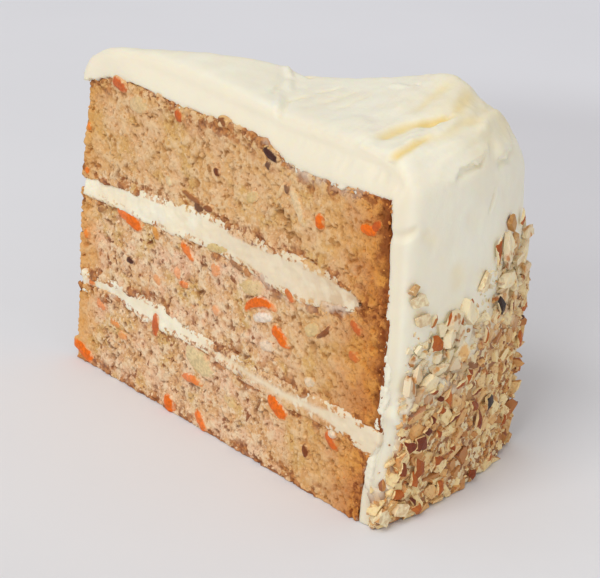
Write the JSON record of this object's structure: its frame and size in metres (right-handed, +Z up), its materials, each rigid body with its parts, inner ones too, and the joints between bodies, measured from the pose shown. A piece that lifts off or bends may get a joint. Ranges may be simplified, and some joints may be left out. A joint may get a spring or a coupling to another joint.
{
  "type": "slice of carrot cake",
  "caption": "Slice of layered carrot cake with cream-cheese frosting between the sponges and over the top and side, and chopped nuts on the side.",
  "frame": {"origin": "centre of the bounding box's base, on the surface that the slice stands on", "axes": "+X from the tip towards the curved outer side with the nuts, +Y from the near cut towards the far cut, +Z up"},
  "size_m": [0.1184, 0.062, 0.0962],
  "materials": {
    "sponge": "open tan cake crumb with carrot shreds, matte",
    "frosting": "smooth ivory cream-cheese frosting, soft sheen",
    "nuts": "chopped pale nuts with brown skins, matte"
  },
  "bodies": {
    "root": {"sponge_bottom": "sponge", "filling_lower": "frosting", "sponge_middle": "sponge", "filling_upper": "frosting", "sponge_top": "sponge", "frosting_coat": "frosting", "nut_coat": "nuts"}
  },
  "joints": []
}
